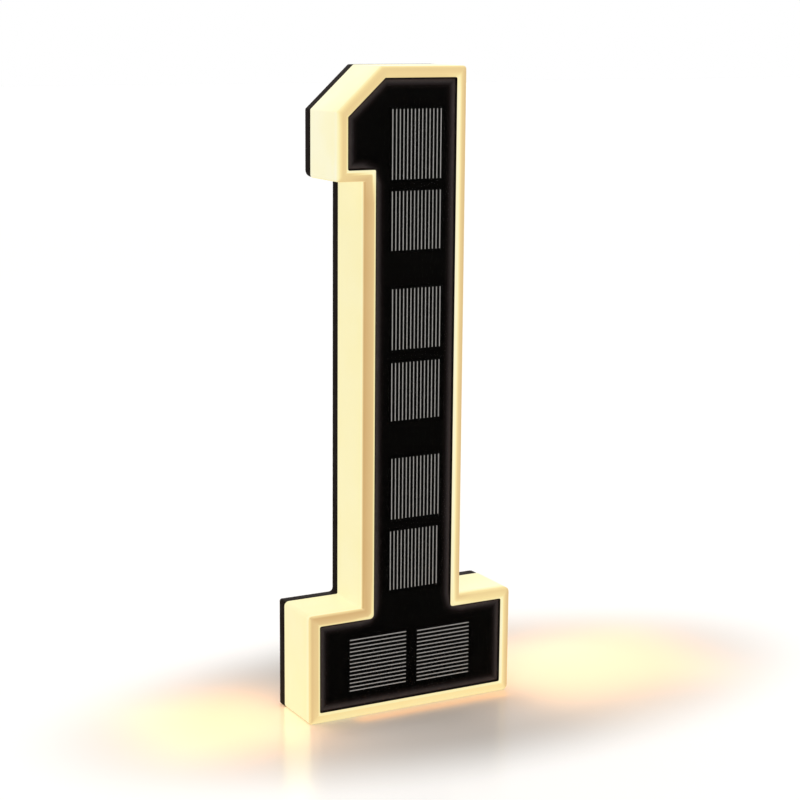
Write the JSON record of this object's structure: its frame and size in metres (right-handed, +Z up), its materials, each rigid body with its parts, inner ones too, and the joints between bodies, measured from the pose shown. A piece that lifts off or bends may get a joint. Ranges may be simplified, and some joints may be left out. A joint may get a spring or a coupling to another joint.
{
  "type": "illuminated house number sign",
  "caption": "Free-standing or wall-hung solar house number: a glowing opal casing shaped as the digit 1 with a black solar panel face, black rear cover and push switch.",
  "frame": {"origin": "middle of the foot's underside, half-way through the depth", "axes": "+Z up the stem, the lit face looks along -Y, the back cover along +Y, +X to the right of someone reading the digit"},
  "size_m": [0.089, 0.0286, 0.25],
  "materials": {
    "opal_plastic": "satin, lit from inside, warm",
    "black_abs": "fine moulded texture",
    "clear_resin": "polished",
    "black_board": "lacquered",
    "silicon": "polished",
    "silver_paste": "printed",
    "foam_tape": "matt",
    "silicone": "matt",
    "zinc_steel": "zinc plated",
    "white_board": "solder mask",
    "light_resin": "clear resin over phosphor",
    "chip_epoxy": "moulded",
    "ferrite": "fired",
    "capacitor_ceramic": "fired",
    "switch_nylon": "moulded",
    "button_plastic": "satin",
    "holder_plastic": "moulded",
    "battery_sleeve": "shrink film",
    "nickel_strip": "stamped",
    "plug_nylon": "moulded",
    "red_insulation": "extruded",
    "black_insulation": "extruded"
  },
  "bodies": {
    "sign": {"diffuser_shell": "opal_plastic", "rear_cover": "black_abs", "rear_seal": "silicone", "cover_screws": "zinc_steel", "panel_cover": "clear_resin", "panel_board": "black_board", "panel_tape": "foam_tape", "cell_fingers": "silver_paste", "light_board": "white_board", "light_chips": "light_resin", "board_screws": "zinc_steel", "charge_chip": "chip_epoxy", "power_coil": "ferrite", "chip_capacitors": "capacitor_ceramic", "chip_resistors": "chip_epoxy", "switch_body": "switch_nylon", "battery_holder": "holder_plastic", "battery_cell": "battery_sleeve", "positive_contact": "nickel_strip", "negative_contact": "nickel_strip", "lead_socket": "plug_nylon", "lead_plug": "plug_nylon", "panel_lead_red": "red_insulation", "panel_lead_black": "black_insulation", "solar_cell_1": "silicon", "solar_cell_2": "silicon", "solar_cell_3": "silicon", "solar_cell_4": "silicon", "solar_cell_5": "silicon", "solar_cell_6": "silicon", "solar_cell_7": "silicon", "solar_cell_8": "silicon"},
    "button": {"switch_button": "button_plastic", "switch_plunger": "switch_nylon", "button_ring": "silicone"}
  },
  "joints": [
    {"name": "button_press", "type": "slide", "parent": "sign", "child": "button", "axis": [0, -1, 0], "range_m": [0, 0.0012], "stiffness_N_per_m": 800, "springref_m": -0.001}
  ]
}
